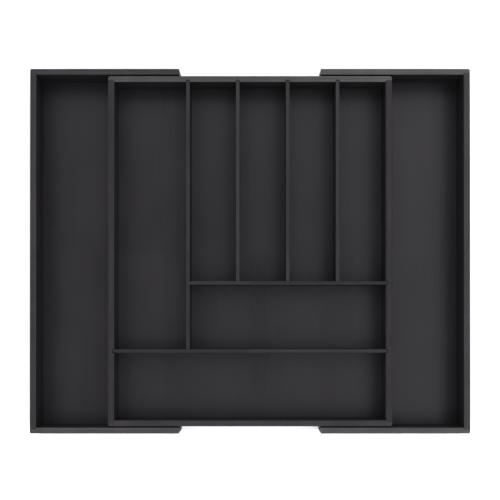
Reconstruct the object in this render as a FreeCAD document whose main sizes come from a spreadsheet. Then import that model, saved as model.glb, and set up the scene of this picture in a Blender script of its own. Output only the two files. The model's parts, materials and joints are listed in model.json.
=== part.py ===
import FreeCAD, Part
import os
import re
from collections import namedtuple

import Sketcher

# Expandable cutlery tray of black-stained boards, in millimetres.
# A fixed centre tray holds seven compartments. An extension tray slides out of each side of it:
# its front and rear walls run outside the centre tray's walls, and its floor runs underneath.
# The origin is on the table under the middle of the tray, with +X to the right, +Y to the rear
# and +Z up. The extension trays are drawn part way out.

CUTLERY_SLOTS = 4
DOWELS_PER_CORNER = 2

# Driving dimensions.
SIZES = {
    # Boards
    "tray_height": 60.0,
    "wall_thickness": 7.0,
    "end_wall_thickness": 7.5,
    "divider_thickness": 4.3,
    "floor_thickness": 4.0,
    # Compartments, measured between the boards
    "long_slot_width": 84.5,
    "cutlery_slot_width": 54.5,
    "cutlery_slot_length": 234.7,
    "middle_slot_depth": 75.8,
    "front_slot_depth": 79.5,
    # How far an extension tray's walls still reach along the centre tray
    "rest_overlap": 84.0,
    "full_overlap": 53.5,
    # Running clearances between the three trays
    "side_gap": 1.5,
    "floor_gap": 0.4,
    "closing_gap": 1.5,
    "meeting_gap": 1.0,
    # Wood joints
    "corner_rebate": 2.0,
    "floor_lip": 3.5,
    "dado_depth": 2.5,
    "cross_dado_depth": 1.0,
    "divider_drop": 1.0,
    "glue_gap": 0.1,
    # Slides
    "runner_length": 40.0,
    "runner_height": 5.0,
    "runner_level": 31.0,
    "runner_seat": 2.0,
    "runner_tongue": 2.0,
    "slide_play": 0.4,
    "stop_gap": 0.5,
    # Dowels
    "dowel_diameter": 3.0,
    "dowel_length": 15.0,
    "dowel_cover": 1.8,
    "dowel_inset": 14.0,
    # Rounded edges
    "center_corner_round": 3.0,
    "side_corner_round": 2.0,
    "wall_end_round": 1.0,
    "rim_round": 0.7,
    "divider_round": 0.6,
    "base_round": 0.8,
}

# Sizes and places that follow from the driving dimensions.
LAYOUT = {
    "slot_pitch": "cutlery_slot_width + divider_thickness",
    "center_inner_width": f"long_slot_width + {CUTLERY_SLOTS} * slot_pitch",
    "center_width": "center_inner_width + 2 * end_wall_thickness",
    "cross_slots_depth": "front_slot_depth + middle_slot_depth + 2 * divider_thickness",
    "center_depth": "cross_slots_depth + cutlery_slot_length + 2 * wall_thickness",
    "side_depth": "center_depth + 2 * (side_gap + wall_thickness)",
    "side_length": "(center_width - meeting_gap) / 2 + closing_gap + end_wall_thickness",
    "inner_end": "center_width / 2 - rest_overlap",
    "outer_end": "inner_end + side_length",
    # Heights
    "center_bottom": "floor_thickness + floor_gap",
    "center_floor_top": "center_bottom + floor_thickness",
    "center_wall_height": "tray_height - center_bottom",
    "divider_height": "tray_height - divider_drop - center_floor_top",
    # What is left of a wall beside a rebate, from its outer face
    "corner_lip": "wall_thickness - corner_rebate",
    "floor_edge": "wall_thickness - floor_lip",
    "floor_end": "end_wall_thickness - floor_lip",
    # Dividers, from the centre tray's left and front faces to their near sides and ends
    "long_divider_at": "end_wall_thickness + long_slot_width",
    "long_cross_at": "wall_thickness + front_slot_depth",
    "short_cross_at": "long_cross_at + divider_thickness + middle_slot_depth",
    "long_cross_left": "end_wall_thickness - dado_depth",
    "short_cross_left": "long_divider_at + divider_thickness - cross_dado_depth",
    "cross_right": "center_width - end_wall_thickness + dado_depth",
    "long_divider_front": "long_cross_at + divider_thickness - cross_dado_depth",
    "cutlery_divider_front": "short_cross_at + divider_thickness - cross_dado_depth",
    "divider_rear": "center_depth - wall_thickness + dado_depth",
    # Slides and dowels
    "runner_thickness": "runner_seat + side_gap + runner_tongue",
    "groove_half": "center_width / 2 - full_overlap + runner_length + stop_gap",
    "dowel_seat": "corner_lip - dowel_cover",
    "dowel_hole": "dowel_diameter + glue_gap",
}

Rect = namedtuple("Rect", "left right low high")
Disc = namedtuple("Disc", "across up diameter")

# Each axis with the origin plane square to it and the way that plane's normal points.
PLANES = {"X": ("YZ_Plane", 1), "Y": ("XZ_Plane", -1), "Z": ("XY_Plane", 1)}

# The front row of walls is drawn as it stands, and the rear row is turned round to face it.
ROWS = (("front", 0, "-"), ("rear", 180, "+"))

UP = FreeCAD.Vector(0, 0, 1)
ALONG_X = FreeCAD.Vector(1, 0, 0)
NEAR = 1e-6

DOC = FreeCAD.newDocument("CutleryTray")
PARTS = []


def bound(text):
    """Turn words of the size list and the layout into an expression on the sheet's cells."""

    def cell(match):
        word = match.group()
        return f"({bound(LAYOUT[word])})" if word in LAYOUT else f"Sizes.{word}"

    return re.sub(r"[a-z][a-z_]+", cell, text)


def fill_sheet():
    """Write the driving dimensions into the spreadsheet, one named cell each."""
    sheet = DOC.addObject("Spreadsheet::Sheet", "Sizes")
    for row, (name, size) in enumerate(SIZES.items(), start=1):
        sheet.set(f"A{row}", name)
        sheet.set(f"B{row}", str(size))
        sheet.setAlias(f"B{row}", name)
    DOC.recompute()


def bind_place(item, x, y, z):
    """Bind an object's position to the sheet."""
    for axis, text in zip("xyz", (x, y, z)):
        item.setExpression(f"Placement.Base.{axis}", bound(text))


def hold_point(sketch, geometry, point, across, up):
    """Fix one point of a sketch at bound distances from its origin."""
    for kind, text in (("DistanceX", across), ("DistanceY", up)):
        row = sketch.addConstraint(Sketcher.Constraint(kind, -1, 1, geometry, point, 1.0))
        sketch.setExpression(f"Constraints[{row}]", bound(text))


def draw_rectangle(sketch, rect):
    """Add a rectangle whose four sides are bound to the sheet."""
    first = sketch.GeometryCount
    corners = [FreeCAD.Vector(*xy, 0) for xy in ((0, 0), (1, 0), (1, 1), (0, 1))]
    for side in range(4):
        sketch.addGeometry(Part.LineSegment(corners[side], corners[(side + 1) % 4]))
    for side, way in enumerate(("Horizontal", "Vertical", "Horizontal", "Vertical")):
        following = first + (side + 1) % 4
        sketch.addConstraint(Sketcher.Constraint("Coincident", first + side, 2, following, 1))
        sketch.addConstraint(Sketcher.Constraint(way, first + side))
    hold_point(sketch, first, 1, rect.left, rect.low)
    hold_point(sketch, first + 2, 1, rect.right, rect.high)


def draw_disc(sketch, disc):
    """Add a circle whose centre and diameter are bound to the sheet."""
    ring = sketch.addGeometry(Part.Circle(FreeCAD.Vector(), UP, 1.0))
    row = sketch.addConstraint(Sketcher.Constraint("Diameter", ring, 2.0))
    sketch.setExpression(f"Constraints[{row}]", bound(disc.diameter))
    hold_point(sketch, ring, 3, disc.across, disc.up)


class Board:
    """One board, drawn with its length along X, its thickness along Y and its height along Z.

    Its outer face is at Y = 0, and its inner face, which takes the joints, is at its thickness.
    """

    def __init__(self, label, length, thickness, height):
        self.thickness = thickness
        self.body = DOC.addObject("PartDesign::Body", label)
        self.body.Label = label
        outline = self.sketch("Outline", "Z", [Rect("0", length, "0", thickness)])
        blank = self.body.newObject("PartDesign::Pad", "Blank")
        blank.Profile = outline
        blank.setExpression("Length", bound(height))
        self.body.Tip = blank
        DOC.recompute()
        PARTS.append(self.body)

    def sketch(self, name, axis, shapes, at="0"):
        """Draw shapes on the plane square to an axis, at a bound distance along it."""
        role, normal = PLANES[axis]
        sketch = self.body.newObject("Sketcher::SketchObject", name)
        origin_plane = next(item for item in self.body.Origin.OriginFeatures if item.Role == role)
        sketch.AttachmentSupport = [(origin_plane, "")]
        sketch.MapMode = "FlatFace"
        sketch.setExpression("AttachmentOffset.Base.z", f"{normal} * ({bound(at)})")
        for shape in shapes:
            draw = draw_rectangle if isinstance(shape, Rect) else draw_disc
            draw(sketch, shape)
        return sketch

    def cut(self, name, axis, shapes, at="0", toward=1, depth=None):
        """Cut shapes into the board along an axis, to a depth or right through."""
        before = self.body.Shape.Volume
        outline = self.sketch(f"{name}Outline", axis, shapes, at)
        pocket = self.body.newObject("PartDesign::Pocket", name)
        pocket.Profile = outline
        pocket.Reversed = toward == PLANES[axis][1]
        if depth is None:
            pocket.Type = "ThroughAll"
        else:
            pocket.setExpression("Length", bound(depth))
        self.body.Tip = pocket
        DOC.recompute()
        if self.body.Shape.Volume > before - NEAR:
            raise RuntimeError(f"{self.body.Label}: {name} cuts nothing")

    def round_edges(self, name, radius, chosen):
        """Round every edge that the test picks by its end points and the box of all end points."""
        base = self.body.Tip
        box = Part.Compound(base.Shape.Vertexes).BoundBox
        edges = [
            f"Edge{number}"
            for number, edge in enumerate(base.Shape.Edges, start=1)
            if chosen([vertex.Point for vertex in edge.Vertexes], box)
        ]
        fillet = self.body.newObject("PartDesign::Fillet", name)
        fillet.Base = (base, edges)
        fillet.setExpression("Radius", bound(radius))
        self.body.Tip = fillet
        DOC.recompute()

    def round_upright(self, name, radius, end, face):
        """Round one upright edge, at the start or the finish, of the outer or the inner face."""

        def chosen(points, box):
            x = box.XMin if end == "start" else box.XMax
            y = box.YMin if face == "outer" else box.YMax
            return all(abs(point.x - x) < NEAR and abs(point.y - y) < NEAR for point in points)

        self.round_edges(name, radius, chosen)

    def round_rim(self, radius="rim_round", ends=True):
        """Round the top edges, all round or only along the board."""

        def chosen(points, box):
            on_top = all(abs(point.z - box.ZMax) < NEAR for point in points)
            return on_top and (ends or abs(points[0].y - points[-1].y) < NEAR)

        self.round_edges("Rim", radius, chosen)

    def round_base(self):
        """Round the lower edge of the outer face."""

        def chosen(points, box):
            return all(
                abs(point.z - box.ZMin) < NEAR and abs(point.y - box.YMin) < NEAR for point in points
            )

        self.round_edges("Base", "base_round", chosen)

    def cut_dadoes(self, starts, depth):
        """Cut an upright dado in the inner face for a divider that starts at each place."""
        dadoes = [
            Rect(
                f"{start} - glue_gap",
                f"{start} + divider_thickness + glue_gap",
                f"{self.thickness} - {depth}",
                self.thickness,
            )
            for start in starts
        ]
        self.cut("Dadoes", "Z", dadoes)

    def cut_floor_rebate(self, left, right):
        """Cut the rebate under the inner face that takes the floor's edge."""
        strip = Rect(left, right, f"{self.thickness} - floor_lip", self.thickness)
        self.cut("FloorRebate", "Z", [strip], depth="floor_thickness")

    def place(self, x, y, z, turn=0):
        """Turn the board about the vertical and set its corner in the tray."""
        self.body.Placement.Rotation = FreeCAD.Rotation(UP, turn)
        bind_place(self.body, x, y, z)


def dowel_levels(height):
    """Heights of a corner's dowels above the foot of its wall, evenly from inset to inset."""
    step = f"({height} - 2 * dowel_inset) / {DOWELS_PER_CORNER - 1}"
    return [f"dowel_inset + {number} * ({step})" for number in range(DOWELS_PER_CORNER)]


def dowel_holes(across, height):
    """Outlines of a corner's dowel holes at one distance across the board."""
    return [Disc(across, level, "dowel_hole") for level in dowel_levels(height)]


def divider_places():
    """Places of the dividers that end in the rear wall, from the centre tray's left face."""
    return [f"(long_divider_at + {number} * slot_pitch)" for number in range(CUTLERY_SLOTS)]


def build_long_wall(label, length, height, joined, corner_round):
    """Build a front or rear wall, with a corner joint at each of its joined ends."""
    wall = Board(label, length, "wall_thickness", height)
    joints = {"start": "0", "finish": f"{length} - end_wall_thickness"}
    for end in joints:
        if end in joined:
            wall.round_upright("Corner", corner_round, end, "outer")
        else:
            wall.round_upright("EndOutside", "wall_end_round", end, "outer")
            wall.round_upright("EndInside", "wall_end_round", end, "inner")
    wall.round_rim()
    wall.round_base()

    rebates, holes = [], []
    for end in joined:
        left = joints[end]
        rebates.append(Rect(left, f"{left} + end_wall_thickness", "corner_lip", "wall_thickness"))
        holes += dowel_holes(f"{left} + end_wall_thickness / 2", height)
    wall.cut("CornerRebate", "Z", rebates)
    wall.cut("DowelHoles", "Y", holes, at="corner_lip", toward=-1, depth="dowel_seat + glue_gap")
    wall.cut_floor_rebate(
        "floor_end" if "start" in joined else "0",
        f"{length} - floor_end" if "finish" in joined else length,
    )
    return wall


def build_end_wall(label, tray_depth, height):
    """Build a left or right wall, which stands between a front and a rear wall."""
    length = f"({tray_depth} - 2 * corner_lip)"
    wall = Board(label, length, "end_wall_thickness", height)
    wall.round_rim(ends=False)
    wall.round_base()
    wall.cut_floor_rebate("0", length)
    holes = dowel_holes("end_wall_thickness / 2", height)
    hole_depth = "dowel_length - dowel_seat + glue_gap"
    wall.cut("StartDowelHoles", "X", holes, toward=1, depth=hole_depth)
    wall.cut("FinishDowelHoles", "X", holes, at=length, toward=-1, depth=hole_depth)
    return wall


def build_floor(label, left, right, tray_depth, bottom):
    """Build a floor panel that fills its rebates from the front wall to the rear wall."""
    floor = DOC.addObject("Part::Box", label)
    floor.Label = label
    width = f"({tray_depth} - 2 * (floor_edge + glue_gap))"
    floor.setExpression("Length", bound(f"{right} - ({left})"))
    floor.setExpression("Width", bound(width))
    floor.setExpression("Height", bound("floor_thickness"))
    bind_place(floor, left, f"-{width} / 2", bottom)
    PARTS.append(floor)


def build_dowels(label, corners, tray_depth, height, bottom):
    """Build one group of dowels for the corners at these places along X, front and rear."""
    group = DOC.addObject("Part::Compound", label)
    group.Label = label
    reach = f"({tray_depth} / 2 - corner_lip + dowel_seat)"
    dowels = []
    for corner in corners:
        for start in (f"-{reach}", f"{reach} - dowel_length"):
            for level in dowel_levels(height):
                dowel = DOC.addObject("Part::Cylinder", "Dowel")
                dowel.setExpression("Radius", bound("dowel_diameter / 2"))
                dowel.setExpression("Height", bound("dowel_length"))
                dowel.Placement.Rotation = FreeCAD.Rotation(ALONG_X, -90)
                bind_place(dowel, corner, start, f"{bottom} + {level}")
                dowels.append(dowel)
    group.Links = dowels
    PARTS.append(group)


def build_center_walls():
    """Build the centre tray's four walls, with the slide grooves and the dividers' dadoes."""
    groove = Rect(
        "center_width / 2 - groove_half",
        "center_width / 2 + groove_half",
        "runner_level - slide_play - center_bottom",
        "runner_level + runner_height + slide_play - center_bottom",
    )
    rear_dadoes = [f"center_width - divider_thickness - {place}" for place in divider_places()]
    for row, turn, side in ROWS:
        wall = build_long_wall(
            label=f"center_{row}_wall",
            length="center_width",
            height="center_wall_height",
            joined=("start", "finish"),
            corner_round="center_corner_round",
        )
        wall.cut("SlideGroove", "Y", [groove], depth="runner_tongue + slide_play")
        if row == "rear":
            wall.cut_dadoes(rear_dadoes, "dado_depth")
        wall.place(f"{side}center_width / 2", f"{side}center_depth / 2", "center_bottom", turn)

    reach = "(center_depth / 2 - corner_lip)"
    left = build_end_wall("center_left_wall", "center_depth", "center_wall_height")
    left.cut_dadoes(["center_depth - corner_lip - divider_thickness - long_cross_at"], "dado_depth")
    left.place("-center_width / 2", reach, "center_bottom", -90)
    right = build_end_wall("center_right_wall", "center_depth", "center_wall_height")
    right.cut_dadoes(["long_cross_at - corner_lip", "short_cross_at - corner_lip"], "dado_depth")
    right.place("center_width / 2", f"-{reach}", "center_bottom", 90)


def build_cross_divider(label, left, front, divider_starts):
    """Build a divider that runs to the right wall and takes others in its rear face."""
    divider = Board(label, f"cross_right - {left} - 2 * glue_gap", "divider_thickness", "divider_height")
    divider.round_rim("divider_round", ends=False)
    divider.cut_dadoes([f"{start} - {left} - glue_gap" for start in divider_starts], "cross_dado_depth")
    divider.place(
        f"{left} + glue_gap - center_width / 2", f"{front} - center_depth / 2", "center_floor_top"
    )


def build_long_divider(label, left, front):
    """Build a divider that runs back to the rear wall."""
    length = f"divider_rear - {front} - 2 * glue_gap"
    divider = Board(label, length, "divider_thickness", "divider_height")
    divider.round_rim("divider_round", ends=False)
    rear = "divider_rear - glue_gap - center_depth / 2"
    divider.place(f"{left} - center_width / 2", rear, "center_floor_top", -90)
    return divider


def build_dividers():
    """Build the six dividers, each let into what it meets at both ends."""
    first, *others = divider_places()
    build_cross_divider("long_cross_divider", "long_cross_left", "long_cross_at", [first])
    build_cross_divider("short_cross_divider", "short_cross_left", "short_cross_at", others)
    divider = build_long_divider("long_divider", first, "long_divider_front")
    short_cross = "divider_rear - glue_gap - divider_thickness - short_cross_at"
    divider.cut_dadoes([short_cross], "cross_dado_depth")
    for number, place in enumerate(others, start=1):
        build_long_divider(f"cutlery_divider_{number}", place, "cutlery_divider_front")


def build_center_tray():
    """Build the fixed tray that carries the two slides."""
    build_center_walls()
    reach = "(center_width / 2 - floor_end - glue_gap)"
    build_floor("center_floor", f"-{reach}", reach, "center_depth", "center_bottom")
    build_dividers()
    corner = "(center_width - end_wall_thickness) / 2"
    corners = (f"-{corner}", corner)
    build_dowels("center_corner_dowels", corners, "center_depth", "center_wall_height", "center_bottom")


def build_side_wall(name, row, turn, side, outward):
    """Build an extension tray's front or rear wall, with the runner's seat at its inner end."""
    inner_at_start = (outward > 0) == (turn == 0)
    wall = build_long_wall(
        label=f"{name}_{row}_wall",
        length="side_length",
        height="tray_height",
        joined=("finish",) if inner_at_start else ("start",),
        corner_round="side_corner_round",
    )
    left = "0" if inner_at_start else "side_length - runner_length"
    seat = Rect(left, f"{left} + runner_length", "runner_level", "runner_level + runner_height")
    wall.cut("RunnerSeat", "Y", [seat], at="wall_thickness", toward=-1, depth="runner_seat")
    start = "inner_end" if inner_at_start else "outer_end"
    wall.place(f"{outward} * {start}", f"{side}side_depth / 2", "0", turn)


def build_runner(name, row, turn, side, outward):
    """Build the block that is glued into a side wall and rides in the centre tray's groove."""
    runner = Board(f"{name}_{row}_runner", "runner_length", "runner_thickness", "runner_height")
    for end in ("start", "finish"):
        runner.round_upright("TongueEnd", "wall_end_round", end, "inner")
    inner_at_start = (outward > 0) == (turn == 0)
    start = "inner_end" if inner_at_start else "(inner_end + runner_length)"
    seat = "(side_depth / 2 - wall_thickness + runner_seat)"
    runner.place(f"{outward} * {start}", f"{side}{seat}", "runner_level", turn)


def build_side_tray(name, outward):
    """Build one extension tray, to the left (outward -1) or to the right (outward +1)."""
    for row, turn, side in ROWS:
        build_side_wall(name, row, turn, side, outward)
        build_runner(name, row, turn, side, outward)

    end = build_end_wall(f"{name}_end_wall", "side_depth", "tray_height")
    reach = "(side_depth / 2 - corner_lip)"
    end.place(f"{outward} * outer_end", f"{-outward} * {reach}", "0", outward * 90)

    span = (f"{outward} * inner_end", f"{outward} * (outer_end - floor_end - glue_gap)")
    build_floor(f"{name}_floor", *span[::outward], "side_depth", "0")
    corner = f"{outward} * (outer_end - end_wall_thickness / 2)"
    build_dowels(f"{name}_corner_dowels", [corner], "side_depth", "tray_height", "0")


def check_model():
    """Stop if any object of the document failed or any piece has no sound shape."""
    DOC.recompute()
    failed = [item.Name for item in DOC.Objects if {"Invalid", "Error"} & set(item.State)]
    unsound = [part.Label for part in PARTS if part.Shape.isNull() or not part.Shape.isValid()]
    if failed or unsound:
        raise RuntimeError(f"failed objects {failed}, unsound pieces {unsound}")


def write_parts():
    """Write every piece to a file that bears its name."""
    os.makedirs("parts", exist_ok=True)
    for part in PARTS:
        part.Shape.exportStep(f"parts/{part.Label}.step")


fill_sheet()
build_center_tray()
build_side_tray("left", -1)
build_side_tray("right", 1)
check_model()
write_parts()
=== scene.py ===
"""Dresses the expandable cutlery tray: black-stained bamboo boards in soft, even studio light.

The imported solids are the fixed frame, in metres, with +X to the right, +Y to the rear and +Z up.
Every wall, divider and floor is modelled again as a board with eased edges and open joint lines,
at the size and place of its solid. The runners and the dowels keep their solids.
"""

import json
import logging
import math
from collections.abc import Callable, Iterable
from dataclasses import dataclass, field
from enum import Enum

import bmesh
import bpy
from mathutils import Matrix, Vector


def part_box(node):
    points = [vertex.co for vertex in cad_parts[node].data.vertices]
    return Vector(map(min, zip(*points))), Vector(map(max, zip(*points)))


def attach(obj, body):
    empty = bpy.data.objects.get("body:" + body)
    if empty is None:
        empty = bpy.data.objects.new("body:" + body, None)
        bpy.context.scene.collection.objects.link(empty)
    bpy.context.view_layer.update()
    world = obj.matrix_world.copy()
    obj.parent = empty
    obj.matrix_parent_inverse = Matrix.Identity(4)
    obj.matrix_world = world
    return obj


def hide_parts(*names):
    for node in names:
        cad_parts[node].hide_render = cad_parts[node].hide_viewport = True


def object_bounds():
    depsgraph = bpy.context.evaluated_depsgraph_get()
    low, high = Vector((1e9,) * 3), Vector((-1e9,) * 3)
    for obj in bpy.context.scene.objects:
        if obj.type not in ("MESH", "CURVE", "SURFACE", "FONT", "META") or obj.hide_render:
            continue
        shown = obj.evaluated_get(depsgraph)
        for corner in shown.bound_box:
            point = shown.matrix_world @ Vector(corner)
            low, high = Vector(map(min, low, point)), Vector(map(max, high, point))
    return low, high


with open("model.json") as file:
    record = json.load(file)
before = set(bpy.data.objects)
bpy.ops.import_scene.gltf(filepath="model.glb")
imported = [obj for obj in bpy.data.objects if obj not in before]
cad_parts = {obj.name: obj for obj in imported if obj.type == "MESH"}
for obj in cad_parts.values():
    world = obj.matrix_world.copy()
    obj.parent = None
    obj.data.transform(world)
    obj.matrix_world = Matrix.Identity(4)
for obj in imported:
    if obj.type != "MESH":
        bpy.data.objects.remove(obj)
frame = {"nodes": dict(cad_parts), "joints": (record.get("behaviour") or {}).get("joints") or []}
CAD_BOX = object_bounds()

LOG = logging.getLogger("cutlery_tray")
END_GRAIN = "end_grain"
MM = 0.001
NEAR = 1e-5
CUTTER_ROOM = 2.0 * MM
LEVEL = math.radians(0.5)
PIN_SIDES = 24


class Word(Enum):
    """A choice that names of nodes and materials spell in small letters."""

    @property
    def word(self) -> str:
        """Name of the choice in small letters."""
        return self.name.lower()


class Grain(Word):
    """Which way a board's fibres run, as the turn about Z that lays them along X."""

    ALONG_X = 0.0
    ALONG_Y = -math.pi / 2

    @property
    def axis(self) -> int:
        """Number of the axis that the fibres run along, 0 for X or 1 for Y."""
        return 0 if self is Grain.ALONG_X else 1


class Side(Word):
    """A side of the tray, as the way its extension slides along X."""

    LEFT = -1
    RIGHT = 1


class Row(Word):
    """A row of long walls, as the way its outer faces look along Y."""

    FRONT = -1
    REAR = 1


class Gloss(Word):
    """How glossy the lacquer on a wall's rim came out, as the weight of its coat."""

    DULL = 0.05
    SATIN = 0.35
    BRIGHT = 1.0


@dataclass(frozen=True)
class Box:
    """An upright box between its lowest and highest corners."""

    low: Vector
    high: Vector

    @classmethod
    def of_node(cls, node: str) -> "Box":
        """Box of a solid at rest."""
        return cls(*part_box(node))

    @classmethod
    def of_mesh(cls, board: bpy.types.Object) -> "Box":
        """Box of a board's mesh."""
        points = [vertex.co for vertex in board.data.vertices]
        low = Vector([min(point[axis] for point in points) for axis in range(3)])
        high = Vector([max(point[axis] for point in points) for axis in range(3)])
        return cls(low, high)

    @property
    def size(self) -> Vector:
        """Lengths of the box's sides."""
        return self.high - self.low

    @property
    def middle(self) -> Vector:
        """Centre of the box."""
        return (self.low + self.high) / 2

    def grown(self, x: float = 0.0, y: float = 0.0, below: float = 0.0, above: float = 0.0) -> "Box":
        """Box with more room on its sides.

        Args:
            x: Room added at each end along X.
            y: Room added at each end along Y.
            below: Room added under the box.
            above: Room added over the box.

        Returns:
            The larger box.
        """
        return Box(self.low - Vector((x, y, below)), self.high + Vector((x, y, above)))

    def cleared(self, board: "Box", room: float) -> "Box":
        """Box with the sides that lie flush with a board's pushed past them.

        Args:
            board: Box of the board that is to be cut.
            room: How far past the board's sides they go.

        Returns:
            The box to cut with.
        """
        low = [own - room if abs(own - its) < NEAR else own for own, its in zip(self.low, board.low)]
        high = [own + room if abs(own - its) < NEAR else own for own, its in zip(self.high, board.high)]
        return Box(Vector(low), Vector(high))


@dataclass(frozen=True)
class Pin:
    """A round pin along Y."""

    middle: Vector
    radius: float
    length: float


def deselect_all() -> None:
    """Leave object mode with nothing selected."""
    if bpy.context.object and bpy.context.object.mode != "OBJECT":
        bpy.ops.object.mode_set(mode="OBJECT")
    bpy.ops.object.select_all(action="DESELECT")


def pick(board: bpy.types.Object) -> None:
    """Select one object alone and make it active."""
    deselect_all()
    bpy.context.view_layer.objects.active = board
    board.select_set(True)


def open_whole(board: bpy.types.Object) -> None:
    """Open a board in edit mode with every face selected."""
    pick(board)
    bpy.ops.object.mode_set(mode="EDIT")
    bpy.ops.mesh.select_mode(type="FACE")
    bpy.ops.mesh.select_all(action="SELECT")


def add_block(name: str, box: Box) -> bpy.types.Object:
    """Add a block that fills a box, with its place in its mesh.

    Args:
        name: Name of the new object.
        box: Box to fill.

    Returns:
        The block, selected and active.
    """
    deselect_all()
    bpy.ops.mesh.primitive_cube_add(size=1.0, location=box.middle, scale=box.size)
    block = bpy.context.object
    block.name = name
    block.data.name = name
    bpy.ops.object.transform_apply(location=True, rotation=True, scale=True)
    return block


def add_pin(name: str, pin: Pin) -> bpy.types.Object:
    """Add a round pin, with its place in its mesh.

    Args:
        name: Name of the new object.
        pin: Place and size of the pin.

    Returns:
        The pin, selected and active.
    """
    deselect_all()
    bpy.ops.mesh.primitive_cylinder_add(
        vertices=PIN_SIDES,
        radius=pin.radius,
        depth=pin.length,
        location=pin.middle,
        rotation=(math.pi / 2, 0.0, 0.0),
    )
    made = bpy.context.object
    made.name = name
    bpy.ops.object.transform_apply(location=True, rotation=True, scale=True)
    return made


def round_edges(
    board: bpy.types.Object, radius: float, steps: int, chosen: Callable[[Vector, Vector], bool]
) -> None:
    """Round the edges that a test picks by their two end points.

    Args:
        board: Board to work on.
        radius: Radius of the rounding.
        steps: Number of faces round it.
        chosen: Test of an edge's end points.
    """
    pick(board)
    bpy.ops.object.mode_set(mode="EDIT")
    bpy.ops.mesh.select_mode(type="EDGE")
    bpy.ops.mesh.select_all(action="DESELECT")
    mesh = bmesh.from_edit_mesh(board.data)
    for edge in mesh.edges:
        edge.select_set(chosen(edge.verts[0].co, edge.verts[1].co))
    bmesh.update_edit_mesh(board.data)
    bpy.ops.mesh.bevel(offset=radius, offset_type="OFFSET", segments=steps, affect="EDGES")
    bpy.ops.object.mode_set(mode="OBJECT")


def cut_out(board: bpy.types.Object, holes: Iterable[Box], pins: Iterable[Pin] = ()) -> None:
    """Cut boxes and pins out of a board.

    The faces are split into flat triangles for the cuts and the level ones joined again after them,
    because the faces round a rim's corners are a little twisted.

    Args:
        board: Board to work on.
        holes: Boxes to take away.
        pins: Pins to take away.
    """
    whole = Box.of_mesh(board)
    open_whole(board)
    bpy.ops.mesh.quads_convert_to_tris()
    cutters = [add_block("cutter", hole.cleared(whole, CUTTER_ROOM)) for hole in holes]
    cutters += [add_pin("cutter", pin) for pin in pins]
    for cutter in cutters:
        pick(board)
        bpy.ops.object.modifier_add(type="BOOLEAN")
        joint = board.modifiers[-1]
        joint.operation = "DIFFERENCE"
        joint.solver = "EXACT"
        joint.object = cutter
        bpy.ops.object.modifier_apply(modifier=joint.name)
        bpy.data.objects.remove(cutter)
    open_whole(board)
    bpy.ops.mesh.dissolve_limited(angle_limit=LEVEL)
    bpy.ops.object.mode_set(mode="OBJECT")


class NodeTree:
    """A node tree with short ways to add and join nodes."""

    def __init__(self, tree: bpy.types.NodeTree) -> None:
        """Start from an empty tree."""
        self.tree = tree
        tree.nodes.clear()

    def add(self, kind: str, inputs: dict | None = None, **settings: object) -> bpy.types.Node:
        """Add a node.

        Args:
            kind: Blender's name of the node type.
            inputs: Values, or sockets to join, by the name or number of the input.
            settings: Attributes of the node.

        Returns:
            The new node.
        """
        node = self.tree.nodes.new(kind)
        for name, value in settings.items():
            setattr(node, name, value)
        for key, value in (inputs or {}).items():
            if isinstance(value, bpy.types.NodeSocket):
                self.tree.links.new(value, node.inputs[key])
            else:
                node.inputs[key].default_value = value
        return node

    def math(self, operation: str, *values: object) -> bpy.types.NodeSocket:
        """Join values with one sum of a Math node.

        Args:
            operation: Blender's name of the sum.
            values: Numbers or sockets.

        Returns:
            The socket of the result.
        """
        return self.add("ShaderNodeMath", dict(enumerate(values)), operation=operation).outputs[0]

    def spread(
        self, value: object, low: float, high: float, to_low: float, to_high: float
    ) -> bpy.types.NodeSocket:
        """Carry a value smoothly from one range to another.

        Args:
            value: Socket to carry over.
            low: Value that becomes to_low.
            high: Value that becomes to_high.
            to_low: Result at and below low.
            to_high: Result at and above high.

        Returns:
            The socket of the result.
        """
        names = ("Value", "From Min", "From Max", "To Min", "To Max")
        inputs = dict(zip(names, (value, low, high, to_low, to_high)))
        return self.add("ShaderNodeMapRange", inputs, interpolation_type="SMOOTHSTEP").outputs[0]

    def vector(self, operation: str, *values: object) -> bpy.types.Node:
        """Join vectors with one sum of a Vector Math node.

        Args:
            operation: Blender's name of the sum.
            values: Vectors or sockets.

        Returns:
            The node, whose outputs are the vector and the value.
        """
        return self.add("ShaderNodeVectorMath", dict(enumerate(values)), operation=operation)

    def blend(self, share: object, first: object, second: object) -> bpy.types.NodeSocket:
        """Mix two colours.

        Args:
            share: Socket or number with the second colour's share.
            first: Colour or socket.
            second: Colour or socket.

        Returns:
            The socket of the mixed colour.
        """
        inputs = {0: share, 6: first, 7: second}
        return self.add("ShaderNodeMix", inputs, data_type="RGBA").outputs[2]


def blank_material(name: str) -> tuple[bpy.types.Material, NodeTree]:
    """Add a material with an empty node tree.

    Args:
        name: Name of the material.

    Returns:
        The material and its tree.
    """
    made = bpy.data.materials.new(name)
    made.use_nodes = True
    return made, NodeTree(made.node_tree)


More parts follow.
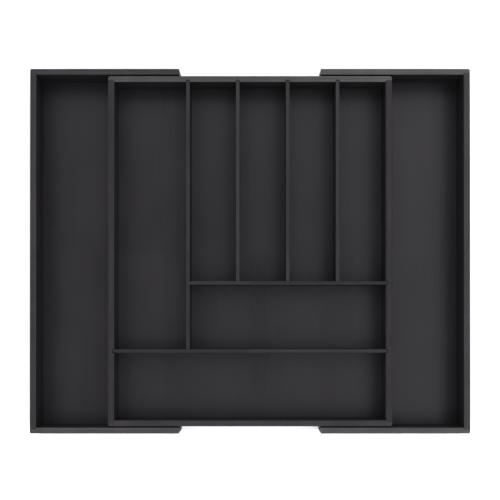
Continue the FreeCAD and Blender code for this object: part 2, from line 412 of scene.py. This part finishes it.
class SurfaceGroup:
    """A shader node group that turns a place on a board into masks."""

    NOISE_SPAN = (0.3, 0.7)

    name = ""
    inputs: tuple[tuple[str, str, float], ...] = ()
    outputs: tuple[str, ...] = ()

    def __init__(self) -> None:
        """Build the group once, for every material that uses it."""
        self.tree = bpy.data.node_groups.new(self.name, "ShaderNodeTree")
        face = self.tree.interface
        face.new_socket("Place", in_out="INPUT", socket_type="NodeSocketVector")
        for name, kind, value in self.inputs:
            face.new_socket(name, in_out="INPUT", socket_type=kind).default_value = value
        for name in self.outputs:
            face.new_socket(name, in_out="OUTPUT", socket_type="NodeSocketFloat")
        nodes = NodeTree(self.tree)
        given = nodes.add("NodeGroupInput").outputs
        nodes.add("NodeGroupOutput", self.masks(nodes, given))

    def masks(self, nodes: NodeTree, given: bpy.types.NodeOutputs) -> dict[str, bpy.types.NodeSocket]:
        """Lay out the group's nodes.

        Args:
            nodes: Tree to fill.
            given: The group's inputs.

        Returns:
            The socket of each output, by its name.
        """
        raise NotImplementedError

    def use(self, nodes: NodeTree, place: bpy.types.NodeSocket, **values: object) -> bpy.types.NodeOutputs:
        """Place the group in a material.

        Args:
            nodes: The material's tree.
            place: Socket with the place on the board.
            values: Values or sockets of the other inputs, with their spaces as underscores.

        Returns:
            The group's outputs.
        """
        inputs = {"Place": place} | {name.replace("_", " "): value for name, value in values.items()}
        return nodes.add("ShaderNodeGroup", inputs, node_tree=self.tree).outputs


class BambooGrain(SurfaceGroup):
    """Fibres, glued strips, knuckles and cut bundles of bamboo, with the fibres along X."""

    name = "BambooGrain"
    inputs = (("Strip Width", "NodeSocketFloat", 0.02),)
    outputs = ("Fibres", "Streaks", "Strips", "Knuckles", "Bundles")

    FIBRES_PER_METRE = Vector((22.0, 1500.0, 1500.0))
    STREAKS_PER_METRE = Vector((5.0, 260.0, 260.0))
    BUNDLES_PER_METRE = 1100.0
    BUNDLE_EDGE = (0.15, 0.45)
    KNUCKLE_PITCH = 0.23
    KNUCKLE_HALF = 0.0011

    def masks(self, nodes: NodeTree, given: bpy.types.NodeOutputs) -> dict[str, bpy.types.NodeSocket]:
        """Lay out the group's nodes. See the base class."""
        strip = nodes.vector("DIVIDE", given["Place"], given["Strip Width"])
        strip = nodes.vector("FLOOR", strip.outputs[0])
        strip = nodes.vector("MULTIPLY", strip.outputs[0], (0.0, 1.0, 1.0))
        chance = nodes.add("ShaderNodeTexWhiteNoise", {"Vector": strip.outputs[0]}, noise_dimensions="3D")

        own = nodes.vector("ADD", chance.outputs["Color"], given["Place"]).outputs[0]
        along_fibre = nodes.vector("MULTIPLY", own, self.FIBRES_PER_METRE).outputs[0]
        fibres = nodes.add(
            "ShaderNodeTexNoise", {"Vector": along_fibre, "Scale": 1.0, "Detail": 3.0, "Roughness": 0.6}
        )
        along_streak = nodes.vector("MULTIPLY", own, self.STREAKS_PER_METRE).outputs[0]
        streaks = nodes.add("ShaderNodeTexNoise", {"Vector": along_streak, "Scale": 1.0, "Detail": 2.0})

        along = nodes.add("ShaderNodeSeparateXYZ", {0: given["Place"]}).outputs["X"]
        turn = nodes.math("ADD", nodes.math("DIVIDE", along, self.KNUCKLE_PITCH), chance.outputs["Value"])
        apart = nodes.math("ABSOLUTE", nodes.math("SUBTRACT", nodes.math("FRACT", turn), 0.5))
        half = self.KNUCKLE_HALF / self.KNUCKLE_PITCH
        bundles = nodes.add("ShaderNodeTexVoronoi", {"Vector": own, "Scale": self.BUNDLES_PER_METRE})
        return {
            "Fibres": nodes.spread(fibres.outputs[0], *self.NOISE_SPAN, 0.0, 1.0),
            "Streaks": nodes.spread(streaks.outputs[0], *self.NOISE_SPAN, 0.0, 1.0),
            "Strips": chance.outputs["Value"],
            "Knuckles": nodes.spread(apart, 0.0, half, 1.0, 0.0),
            "Bundles": nodes.spread(bundles.outputs["Distance"], *self.BUNDLE_EDGE, 1.0, 0.0),
        }


class LacquerCloud(SurfaceGroup):
    """Uneven sheen of a brushed lacquer: broad clouds and fine specks."""

    name = "LacquerCloud"
    outputs = ("Clouds", "Specks")

    CLOUDS_PER_METRE = 14.0
    SPECKS_PER_METRE = 900.0
    SPECK_SPAN = (0.62, 0.78)

    def masks(self, nodes: NodeTree, given: bpy.types.NodeOutputs) -> dict[str, bpy.types.NodeSocket]:
        """Lay out the group's nodes. See the base class."""
        place = {"Vector": given["Place"]}
        clouds = nodes.add("ShaderNodeTexNoise", place | {"Scale": self.CLOUDS_PER_METRE, "Detail": 3.0})
        specks = nodes.add("ShaderNodeTexNoise", place | {"Scale": self.SPECKS_PER_METRE, "Detail": 1.0})
        return {
            "Clouds": nodes.spread(clouds.outputs[0], *self.NOISE_SPAN, 0.0, 1.0),
            "Specks": nodes.spread(specks.outputs[0], *self.SPECK_SPAN, 0.0, 1.0),
        }


class RimRubHighlight(SurfaceGroup):
    """Where hands and cutlery have scuffed the top edges, patchily, together with a painted highlight: a
    lighter band along each rim.
    """

    name = "RimRubHighlight"
    inputs = (("Rim Height", "NodeSocketFloat", 0.06),)
    outputs = ("Top", "Rub")

    BAND = 0.0014
    PATCHES_PER_METRE = 60.0
    PATCH_SPAN = (0.42, 0.68)
    LEAST_RUB_HIGHLIGHT = 0.15

    def masks(self, nodes: NodeTree, given: bpy.types.NodeOutputs) -> dict[str, bpy.types.NodeSocket]:
        """Lay out the group's nodes. See the base class."""
        height = nodes.add("ShaderNodeSeparateXYZ", {0: given["Place"]}).outputs["Z"]
        down = nodes.math("SUBTRACT", given["Rim Height"], height)
        near = nodes.spread(down, 0.0, self.BAND, 1.0, 0.0)
        place = {"Vector": given["Place"]}
        patches = nodes.add("ShaderNodeTexNoise", place | {"Scale": self.PATCHES_PER_METRE, "Detail": 4.0})
        # Patchy strength of the scuffing and the painted highlight along the rim.
        rubbed_and_highlit = nodes.spread(patches.outputs[0], *self.PATCH_SPAN, self.LEAST_RUB_HIGHLIGHT, 1.0)
        return {"Top": near, "Rub": nodes.math("MULTIPLY", near, rubbed_and_highlit)}


@dataclass(frozen=True)
class StainedBamboo:
    """Bamboo under a black stain and a satin lacquer."""

    STREAK_SHARE = 0.3
    FIBRE_SHARE = 0.45
    STRIP_SHARE = 0.25
    KNUCKLE_SHADE = 0.3
    CLOUD_SHEEN = 0.3
    FIBRE_SHEEN = 0.35
    STRIP_SHEEN = 0.35
    SPECK_ROUGHNESS = 0.12
    END_ROUGHNESS = 0.1
    KNUCKLE_RISE = 0.7
    BUMP_STRENGTH = 0.6
    LEAST_POLISH = 0.8
    COAT_ROUGHNESS = 0.32
    COAT_IOR = 1.5

    name: str
    grain: Grain
    strip_width: float
    rim_height: float
    stain: tuple[float, float, float] = (0.0012, 0.0010, 0.0012)
    fibre_tone: tuple[float, float, float] = (0.0095, 0.0084, 0.0097)
    # Lighter colour of the band along the rim: partly scuffing, partly a painted highlight where the rims
    # catch the light.
    rub_and_highlight_tone: tuple[float, float, float] = (0.020, 0.017, 0.019)
    roughness: tuple[float, float] = (0.46, 0.72)
    polish: float = 0.0
    # How strongly that band is laid on: its scuffing and its painted highlight together.
    rub_and_highlight: float = 0.1
    shine: float = 0.20
    shine_tint: tuple[float, float, float] = (1.0, 0.965, 1.03)
    relief: float = 0.00012

    def material(self, kit: "FinishKit") -> bpy.types.Material:
        """Build the finish.

        Args:
            kit: The shared node groups.

        Returns:
            The material.
        """
        made, nodes = blank_material(self.name)
        place = nodes.add("ShaderNodeTexCoord").outputs["Object"]
        spin = {"Rotation": (0.0, 0.0, self.grain.value)}
        turned = nodes.add("ShaderNodeMapping", {"Vector": place} | spin).outputs[0]
        ends = nodes.add("ShaderNodeAttribute", attribute_name=END_GRAIN).outputs["Fac"]
        grain = kit.grain.use(nodes, turned, Strip_Width=self.strip_width)
        lacquer = kit.lacquer.use(nodes, place)
        # rim holds the top band mask, for the coat, and the band of scuffing and painted highlight.
        rim = kit.rub.use(nodes, place, Rim_Height=self.rim_height)

        tone = nodes.math("MULTIPLY", grain["Streaks"], self.STREAK_SHARE)
        tone = nodes.math("MULTIPLY_ADD", grain["Fibres"], self.FIBRE_SHARE, tone)
        tone = nodes.math("MULTIPLY_ADD", grain["Strips"], self.STRIP_SHARE, tone)
        tone = nodes.math("SUBTRACT", tone, nodes.math("MULTIPLY", grain["Knuckles"], self.KNUCKLE_SHADE))
        tone = nodes.add("ShaderNodeMix", {0: ends, 2: tone, 3: grain["Bundles"]}).outputs[0]
        wood = nodes.blend(tone, (*self.stain, 1.0), (*self.fibre_tone, 1.0))
        # Lays the lighter rim band over the wood: scuffing plus a painted highlight on the top edges.
        rubbed_and_highlit = nodes.blend(nodes.math("MULTIPLY", rim["Rub"], self.rub_and_highlight), wood, (*self.rub_and_highlight_tone, 1.0))

        shiny, matt = self.roughness
        sheen = nodes.math("MULTIPLY", lacquer["Clouds"], self.CLOUD_SHEEN)
        sheen = nodes.math("MULTIPLY_ADD", grain["Fibres"], self.FIBRE_SHEEN, sheen)
        sheen = nodes.math("MULTIPLY_ADD", grain["Strips"], self.STRIP_SHEEN, sheen)
        rough = nodes.spread(sheen, 0.0, 1.0, matt, shiny)
        rough = nodes.math("MULTIPLY_ADD", lacquer["Specks"], self.SPECK_ROUGHNESS, rough)
        rough = nodes.math("MULTIPLY_ADD", ends, self.END_ROUGHNESS, rough)

        height = nodes.math("MULTIPLY_ADD", grain["Knuckles"], self.KNUCKLE_RISE, grain["Fibres"])
        bump = nodes.add(
            "ShaderNodeBump", {"Strength": self.BUMP_STRENGTH, "Distance": self.relief, "Height": height}
        )
        streaky = nodes.spread(grain["Streaks"], 0.0, 1.0, self.LEAST_POLISH * self.polish, self.polish)
        shader = nodes.add(
            "ShaderNodeBsdfPrincipled",
            {
                "Base Color": rubbed_and_highlit,
                "Roughness": rough,
                "Specular IOR Level": self.shine,
                "Specular Tint": (*self.shine_tint, 1.0),
                "Coat Weight": nodes.math("MULTIPLY", rim["Top"], streaky),
                "Coat Roughness": self.COAT_ROUGHNESS,
                "Coat IOR": self.COAT_IOR,
                "Normal": bump.outputs[0],
            },
        )
        nodes.add("ShaderNodeOutputMaterial", {"Surface": shader.outputs[0]})
        return made


@dataclass(frozen=True)
class PlainDowel:
    """Bare turned hardwood, with its fibres along Y."""

    name: str = "dowel_wood"
    pale: tuple[float, float, float] = (0.45, 0.30, 0.15)
    dark: tuple[float, float, float] = (0.31, 0.18, 0.08)
    roughness: tuple[float, float] = (0.58, 0.72)
    flute_width: float = 0.0008
    flute_depth: float = 0.0001
    bump_strength: float = 0.5

    def material(self, kit: "FinishKit") -> bpy.types.Material:
        """Build the finish.

        Args:
            kit: The shared node groups.

        Returns:
            The material.
        """
        made, nodes = blank_material(self.name)
        place = nodes.add("ShaderNodeTexCoord").outputs["Object"]
        spin = {"Rotation": (0.0, 0.0, Grain.ALONG_Y.value)}
        turned = nodes.add("ShaderNodeMapping", {"Vector": place} | spin).outputs[0]
        grain = kit.grain.use(nodes, turned, Strip_Width=self.flute_width)
        wood = nodes.blend(grain["Fibres"], (*self.dark, 1.0), (*self.pale, 1.0))
        flutes = {"Strength": self.bump_strength, "Distance": self.flute_depth, "Height": grain["Strips"]}
        bump = nodes.add("ShaderNodeBump", flutes)
        rough = nodes.spread(grain["Streaks"], 0.0, 1.0, *self.roughness)
        shader = nodes.add(
            "ShaderNodeBsdfPrincipled", {"Base Color": wood, "Roughness": rough, "Normal": bump.outputs[0]}
        )
        nodes.add("ShaderNodeOutputMaterial", {"Surface": shader.outputs[0]})
        return made


@dataclass(frozen=True)
class Dressing:
    """A board's material, the record's slot that it is for and the way its fibres run."""

    material: bpy.types.Material
    slot: str
    grain: Grain


class FinishKit:
    """The shared node groups and every finish of the tray."""

    SATIN_LONG_WALLS = ("center_front_wall", "left_rear_wall")
    WALL_STRIP = 0.018
    DIVIDER_STRIP = 0.025
    FLOOR_STRIP = 0.021

    def __init__(self) -> None:
        """Build the groups and then the materials."""
        self.grain = BambooGrain()
        self.lacquer = LacquerCloud()
        self.rub = RimRubHighlight()
        rim = CAD_BOX[1].z
        divider_top = Box.of_node("long_divider").high.z
        self.walls = {
            (grain, gloss): self.dressing(
                StainedBamboo(
                    f"wall_{grain.word}_{gloss.word}",
                    grain,
                    self.WALL_STRIP,
                    rim,
                    rub_and_highlight=rub_and_highlight,
                    polish=gloss.value,
                ),
                "wall_wood",
            )
            # The third number sets the lighter rim band, scuffing with a painted highlight: strongest on
            # the glossiest long walls, weakest on the end walls.
            for grain, gloss, rub_and_highlight in (
                (Grain.ALONG_X, Gloss.BRIGHT, 0.5),
                (Grain.ALONG_X, Gloss.SATIN, 0.3),
                (Grain.ALONG_Y, Gloss.SATIN, 0.2),
                (Grain.ALONG_Y, Gloss.DULL, 0.2),
            )
        }
        self.dividers = {
            grain: self.dressing(
                StainedBamboo(
                    f"divider_{grain.word}", grain, self.DIVIDER_STRIP, divider_top, polish=polish
                ),
                "divider_wood",
            )
            for grain, polish in ((Grain.ALONG_X, 0.12), (Grain.ALONG_Y, 0.22))
        }
        self.floor = self.dressing(
            StainedBamboo(
                "floor_bamboo",
                Grain.ALONG_Y,
                self.FLOOR_STRIP,
                rim,
                stain=(0.0026, 0.0022, 0.0028),
                fibre_tone=(0.0060, 0.0052, 0.0064),
                roughness=(0.27, 0.36),
                shine=0.36,
                relief=0.00004,
            ),
            "floor_panel",
        )
        self.runner = StainedBamboo(
            "runner_bamboo",
            Grain.ALONG_X,
            self.WALL_STRIP,
            rim,
            roughness=(0.30, 0.46),
            shine=0.40,
            relief=0.00005,
        ).material(self)
        self.dowel = PlainDowel().material(self)

    def long_wall(self, node: str) -> Dressing:
        """Dressing of a front or rear wall, some of which are less glossy."""
        gloss = Gloss.SATIN if node in self.SATIN_LONG_WALLS else Gloss.BRIGHT
        return self.walls[Grain.ALONG_X, gloss]

    def dressing(self, finish: StainedBamboo, slot: str) -> Dressing:
        """Build a finish and keep it with its slot and its grain."""
        return Dressing(finish.material(self), slot, finish.grain)


@dataclass
class BoardMaker:
    """Models boards at the size and place of their solids, and dresses them."""

    UPRIGHT_STEPS = 6
    RIM_STEPS = 4
    BASE_STEPS = 3
    ARRIS_STEPS = 2
    SMOOTH_UP_TO = math.radians(50.0)
    FLAT_FACE_WEIGHT = 100
    ACROSS_FIBRES = 0.8

    kit: FinishKit
    rim_round: float = 0.7 * MM
    divider_round: float = 0.6 * MM
    base_round: float = 0.8 * MM
    arris: float = 0.25 * MM
    glue_gap: float = 0.1 * MM
    dowel_radius: float = 1.5 * MM
    dowel_length: float = 15.0 * MM

    def dress(self, board: bpy.types.Object, node: str, body: str, dressing: Dressing) -> None:
        """Finish a board and let it stand for its solid.

        Args:
            board: Modelled board.
            node: Solid that it stands for.
            body: Body that it rides on.
            dressing: Material, slot and grain of the board.
        """
        pick(board)
        bpy.ops.object.shade_smooth_by_angle(angle=self.SMOOTH_UP_TO)
        bpy.ops.object.modifier_add(type="WEIGHTED_NORMAL")
        flat = board.modifiers[-1]
        flat.keep_sharp = True
        flat.weight = self.FLAT_FACE_WEIGHT
        bpy.ops.object.modifier_apply(modifier=flat.name)
        self.mark_ends(board, dressing.grain)
        board.data.materials.append(dressing.material)
        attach(board, body)
        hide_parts(node)
        LOG.info("%s stands for %s on %s: %d faces", board.name, node, body, len(board.data.polygons))

    def mark_ends(self, board: bpy.types.Object, grain: Grain) -> None:
        """Mark the faces that cut across a board's fibres.

        Args:
            board: Modelled board.
            grain: The way its fibres run.
        """
        marks = board.data.attributes.new(END_GRAIN, "FLOAT", "FACE")
        for face, mark in zip(board.data.polygons, marks.data):
            mark.value = float(abs(face.normal[grain.axis]) > self.ACROSS_FIBRES)

    def seat(self, neighbour: str, gap: float = 0.0) -> Box:
        """Room for a neighbour's end, open to the top.

        Args:
            neighbour: Solid that is let in.
            gap: Glue gap round it.

        Returns:
            The box to cut out.
        """
        return Box.of_node(neighbour).grown(gap, gap, gap, CUTTER_ROOM)

    def rebate(self, floor: str) -> Box:
        """Room for a floor's edge, open to below."""
        return Box.of_node(floor).grown(self.glue_gap, self.glue_gap, CUTTER_ROOM, 0.0)

    def dowel_holes(self, tray: str, end_wall: str, rows: Iterable[Row] = tuple(Row)) -> list[Pin]:
        """Room for the dowels between an end wall and the long walls.

        Args:
            tray: First word of the tray's nodes.
            end_wall: Solid that the dowels hold.
            rows: Rows of the long walls that it is held to.

        Returns:
            The pins to cut out of the end wall or of a long wall.
        """
        dowels = Box.of_node(f"{tray}_corner_dowels")
        x = Box.of_node(end_wall).middle.x
        across = dowels.high.y - self.dowel_length / 2
        heights = (dowels.low.z + self.dowel_radius, dowels.high.z - self.dowel_radius)
        radius = self.dowel_radius + self.glue_gap / 2
        length = self.dowel_length + 2 * self.glue_gap
        places = [Vector((x, row.value * across, z)) for row in rows for z in heights]
        return [Pin(place, radius, length) for place in places]

    def upright(self, board: bpy.types.Object, radius: float, x: float, y: float) -> None:
        """Round the upright edge of a board at one place.

        Args:
            board: Board to work on.
            radius: Radius of the rounding.
            x: Place of the edge along X.
            y: Place of the edge along Y.
        """

        def chosen(a: Vector, b: Vector) -> bool:
            """Whether both ends of the edge are at the place."""
            return all(abs(p.x - x) < NEAR and abs(p.y - y) < NEAR for p in (a, b))

        round_edges(board, radius, self.UPRIGHT_STEPS, chosen)

    def rim(self, board: bpy.types.Object, radius: float) -> None:
        """Round a board's top edges all round."""
        top = Box.of_mesh(board).high.z
        round_edges(board, radius, self.RIM_STEPS, lambda a, b: min(a.z, b.z) > top - NEAR)

    def top_sides(self, board: bpy.types.Object, radius: float, grain: Grain) -> None:
        """Round a board's top edges along its length, and ease its ends.

        Args:
            board: Board to work on.
            radius: Radius of the rounding along the board.
            grain: The way the board runs.
        """
        box, along = Box.of_mesh(board), grain.axis

        def long_edge(a: Vector, b: Vector) -> bool:
            """Whether the edge runs along the top of the board."""
            return min(a.z, b.z) > box.high.z - NEAR and abs(a[along] - b[along]) > NEAR

        def end_edge(a: Vector, b: Vector) -> bool:
            """Whether the edge borders an end, apart from its foot."""
            ends = (box.low[along], box.high[along])
            at_end = any(abs(a[along] - end) + abs(b[along] - end) < NEAR for end in ends)
            return at_end and max(a.z, b.z) > box.low.z + NEAR

        round_edges(board, radius, self.RIM_STEPS, long_edge)
        round_edges(board, self.arris, self.ARRIS_STEPS, end_edge)

    def base(self, board: bpy.types.Object, axis: int, outward: int) -> None:
        """Round the lower edge of a wall's outer face.

        Args:
            board: Wall to work on.
            axis: Axis that the outer face looks along, 0 for X or 1 for Y.
            outward: Way that it looks along the axis.
        """
        box = Box.of_mesh(board)
        face = box.high[axis] if outward > 0 else box.low[axis]

        def chosen(a: Vector, b: Vector) -> bool:
            """Whether the edge lies at the foot of the outer face."""
            return max(a.z, b.z) < box.low.z + NEAR and abs(a[axis] - face) + abs(b[axis] - face) < NEAR

        round_edges(board, self.base_round, self.BASE_STEPS, chosen)


@dataclass
class CenterTray:
    """The fixed tray: four walls, a floor and six dividers."""

    maker: BoardMaker
    body: str = "center_tray"
    corner_round: float = 3.0 * MM
    slide_play: float = 0.4 * MM
    stop_gap: float = 0.5 * MM
    rear_dividers: tuple[str, ...] = (
        "long_divider",
        "cutlery_divider_1",
        "cutlery_divider_2",
        "cutlery_divider_3",
    )
    let_in: dict[str, tuple[str, ...]] = field(
        default_factory=lambda: {
            "center_left_wall": ("long_cross_divider",),
            "center_right_wall": ("long_cross_divider", "short_cross_divider"),
            "long_cross_divider": ("long_divider",),
            "short_cross_divider": ("cutlery_divider_1", "cutlery_divider_2", "cutlery_divider_3"),
            "long_divider": ("short_cross_divider",),
        }
    )

    def build(self) -> None:
        """Model and dress every board of the tray."""
        for row in Row:
            self.build_long_wall(row)
        for side in Side:
            self.build_end_wall(side)
        for node in ("long_cross_divider", "short_cross_divider"):
            self.build_divider(node, Grain.ALONG_X)
        for node in self.rear_dividers:
            self.build_divider(node, Grain.ALONG_Y)
        build_floor_panel(self.maker, "center_floor", self.body)
        dress_solid("center_corner_dowels", self.maker.kit.dowel)

    def groove(self, row: Row) -> Box:
        """Room for the runners of one row over their whole travel.

        Args:
            row: Row of the wall.

        Returns:
            The box to cut out of the wall's outer face.
        """
        runner = Box.of_node(f"{Side.RIGHT.word}_{row.word}_runner")
        travel = max(joint["range_m"][1] for joint in frame["joints"])
        reach = runner.high.x + travel + self.stop_gap
        grown = runner.grown(0.0, self.slide_play, self.slide_play, self.slide_play)
        return Box(Vector((-reach, grown.low.y, grown.low.z)), Vector((reach, grown.high.y, grown.high.z)))

    def build_long_wall(self, row: Row) -> None:
        """Model a front or rear wall, with its slide groove and its joints."""
        maker, node = self.maker, f"center_{row.word}_wall"
        box = Box.of_node(node)
        wall = add_block(f"{node}_board", box)
        outer = box.high.y if row is Row.REAR else box.low.y
        for x in (box.low.x, box.high.x):
            maker.upright(wall, self.corner_round, x, outer)
        maker.rim(wall, maker.rim_round)
        maker.base(wall, 1, row.value)
        end_walls = [f"center_{side.word}_wall" for side in Side]
        holes = [maker.seat(end_wall) for end_wall in end_walls]
        holes += [maker.rebate("center_floor"), self.groove(row)]
        if row is Row.REAR:
            holes += [maker.seat(divider, maker.glue_gap) for divider in self.rear_dividers]
        pins = [pin for end_wall in end_walls for pin in maker.dowel_holes("center", end_wall, [row])]
        cut_out(wall, holes, pins)
        maker.dress(wall, node, self.body, maker.kit.long_wall(node))

    def build_end_wall(self, side: Side) -> None:
        """Model a left or right wall, which stands between the long walls."""
        maker, node = self.maker, f"center_{side.word}_wall"
        wall = add_block(f"{node}_board", Box.of_node(node))
        maker.top_sides(wall, maker.rim_round, Grain.ALONG_Y)
        maker.base(wall, 0, side.value)
        holes = [maker.seat(divider, maker.glue_gap) for divider in self.let_in[node]]
        cut_out(wall, [maker.rebate("center_floor"), *holes], maker.dowel_holes("center", node))
        maker.dress(wall, node, self.body, maker.kit.walls[Grain.ALONG_Y, Gloss.DULL])

    def build_divider(self, node: str, grain: Grain) -> None:
        """Model a divider, with the dadoes of those that end in it.

        Args:
            node: Solid that it stands for.
            grain: The way it runs.
        """
        maker = self.maker
        divider = add_block(f"{node}_board", Box.of_node(node))
        maker.top_sides(divider, maker.divider_round, grain)
        cut_out(divider, [maker.seat(other, maker.glue_gap) for other in self.let_in.get(node, ())])
        maker.dress(divider, node, self.body, maker.kit.dividers[grain])


@dataclass
class ExtensionTray:
    """A tray that slides out of one side: three walls, a floor and two runners."""

    maker: BoardMaker
    side: Side
    corner_round: float = 2.0 * MM
    end_round: float = 1.0 * MM

    @property
    def body(self) -> str:
        """Name of the body that slides."""
        return f"{self.side.word}_extension"

    def build(self) -> None:
        """Model and dress every board of the tray."""
        for row in Row:
            self.build_long_wall(row)
        self.build_end_wall()
        build_floor_panel(self.maker, f"{self.side.word}_floor", self.body)
        self.dress_solids()

    def build_long_wall(self, row: Row) -> None:
        """Model a front or rear wall, with its free inner end rounded."""
        maker, node = self.maker, f"{self.side.word}_{row.word}_wall"
        box = Box.of_node(node)
        wall = add_block(f"{node}_board", box)
        inner_y, outer_y = (box.low.y, box.high.y)[:: row.value]
        free_x, joined_x = (box.low.x, box.high.x)[:: self.side.value]
        maker.upright(wall, self.corner_round, joined_x, outer_y)
        for y in (inner_y, outer_y):
            maker.upright(wall, self.end_round, free_x, y)
        maker.rim(wall, maker.rim_round)
        maker.base(wall, 1, row.value)
        end_wall = f"{self.side.word}_end_wall"
        runner = Box.of_node(f"{self.side.word}_{row.word}_runner")
        holes = [maker.seat(end_wall), maker.rebate(f"{self.side.word}_floor"), runner]
        cut_out(wall, holes, maker.dowel_holes(self.side.word, end_wall, [row]))
        maker.dress(wall, node, self.body, maker.kit.long_wall(node))

    def build_end_wall(self) -> None:
        """Model the end wall, which stands between the long walls."""
        maker, node = self.maker, f"{self.side.word}_end_wall"
        wall = add_block(f"{node}_board", Box.of_node(node))
        maker.top_sides(wall, maker.rim_round, Grain.ALONG_Y)
        maker.base(wall, 0, self.side.value)
        cut_out(wall, [maker.rebate(f"{self.side.word}_floor")], maker.dowel_holes(self.side.word, node))
        maker.dress(wall, node, self.body, maker.kit.walls[Grain.ALONG_Y, Gloss.SATIN])

    def dress_solids(self) -> None:
        """Give the runners and the dowels, which keep their solids, their finishes."""
        for row in Row:
            dress_solid(f"{self.side.word}_{row.word}_runner", self.maker.kit.runner)
        dress_solid(f"{self.side.word}_corner_dowels", self.maker.kit.dowel)


def build_floor_panel(maker: BoardMaker, node: str, body: str) -> None:
    """Model a floor panel, with its edges eased.

    Args:
        maker: The board maker.
        node: Solid that it stands for.
        body: Body that it rides on.
    """
    panel = add_block(f"{node}_panel", Box.of_node(node))
    round_edges(panel, maker.arris, maker.ARRIS_STEPS, lambda a, b: True)
    maker.dress(panel, node, body, maker.kit.floor)


def dress_solid(node: str, finish: bpy.types.Material) -> None:
    """Give a solid that stays a finish of its own.

    Args:
        node: Name of the solid.
        finish: Material to give it.
    """
    solid = frame["nodes"][node]
    solid.data.materials.clear()
    solid.data.materials.append(finish)
    LOG.info("%s keeps its solid", node)


@dataclass
class Studio:
    """Pale floor, soft light and the camera over the tray."""

    floor_size: float = 14.0
    floor_drop: float = 0.2 * MM
    floor_colour: tuple[float, float, float] = (0.93, 0.93, 0.93)
    dome: float = 2.2
    dome_full: float = 0.6
    horizon: float = 1.1
    cap: float = 1.02
    cap_edge: tuple[float, float] = (0.72, 0.92)
    lean: tuple[float, float, float] = (1.0, 0.3, 0.0)
    hatch: float = 0.08
    hatch_way: tuple[float, float, float] = (-0.02, 0.03, 1.0)
    hatch_inner: float = math.radians(3.0)
    hatch_outer: float = math.radians(19.0)
    lens: float = 95.88
    sensor: float = 36.0
    height_over_rim: float = 1.567
    stand_forward: float = 0.084
    tilt: float = math.radians(0.35)
    aim: float = 1.2 * MM

    def build(self) -> None:
        """Set up everything round the tray."""
        self.lay_floor()
        self.light_sky()
        self.place_camera()
        bpy.context.scene.view_settings.view_transform = "Standard"

    def lay_floor(self) -> None:
        """Lay a plain pale floor under the tray."""
        deselect_all()
        bpy.ops.mesh.primitive_plane_add(size=self.floor_size, location=(0.0, 0.0, -self.floor_drop))
        floor = bpy.context.object
        floor.name = "studio_floor"
        paint, nodes = blank_material("studio_floor")
        shader = nodes.add("ShaderNodeBsdfDiffuse", {"Color": (*self.floor_colour, 1.0)})
        nodes.add("ShaderNodeOutputMaterial", {"Surface": shader.outputs[0]})
        floor.data.materials.append(paint)

    def light_sky(self) -> None:
        """Light the tray from a white dome, dimmer at the horizon and dim at a hatch overhead."""
        world = bpy.data.worlds.new("studio_sky")
        bpy.context.scene.world = world
        world.use_nodes = True
        nodes = NodeTree(world.node_tree)
        way = nodes.add("ShaderNodeTexCoord").outputs["Generated"]
        up = nodes.add("ShaderNodeSeparateXYZ", {0: way}).outputs["Z"]
        dome = nodes.spread(up, 0.0, self.dome_full, self.horizon, self.dome)
        lean = nodes.vector("DOT_PRODUCT", way, self.lean).outputs["Value"]
        near = nodes.vector("DOT_PRODUCT", way, Vector(self.hatch_way).normalized()).outputs["Value"]
        hatch = nodes.spread(
            near, math.cos(self.hatch_outer), math.cos(self.hatch_inner), self.cap, self.hatch
        )
        cap = nodes.math("MULTIPLY", hatch, nodes.math("ADD", lean, 1.0))
        share = nodes.spread(up, *self.cap_edge, 0.0, 1.0)
        cap = nodes.math("MULTIPLY_ADD", share, nodes.math("SUBTRACT", cap, 1.0), 1.0)
        strength = nodes.math("MULTIPLY", dome, cap)
        sky = nodes.add("ShaderNodeBackground", {"Color": (1.0, 1.0, 1.0, 1.0), "Strength": strength})
        nodes.add("ShaderNodeOutputWorld", {"Surface": sky.outputs[0]})

    def place_camera(self) -> None:
        """Hang the camera over the tray, a little in front of its middle, with its lens shifted back."""
        seen = bpy.data.cameras.new("camera")
        seen.lens = self.lens
        seen.sensor_width = self.sensor
        to_middle = math.atan2(self.stand_forward + self.aim, self.height_over_rim) - self.tilt
        seen.shift_y = math.tan(to_middle) * self.lens / self.sensor
        camera = bpy.data.objects.new("camera", seen)
        camera.location = (0.0, -self.stand_forward, CAD_BOX[1].z + self.height_over_rim)
        camera.rotation_euler = (self.tilt, 0.0, 0.0)
        bpy.context.collection.objects.link(camera)
        bpy.context.scene.camera = camera


def main() -> None:
    """Build the trays and the studio."""
    logging.basicConfig(level=logging.INFO, format="%(name)s: %(message)s")
    kit = FinishKit()
    maker = BoardMaker(kit)
    CenterTray(maker).build()
    for side in Side:
        ExtensionTray(maker, side).build()
    Studio().build()


if __name__ == "__main__":
    main()
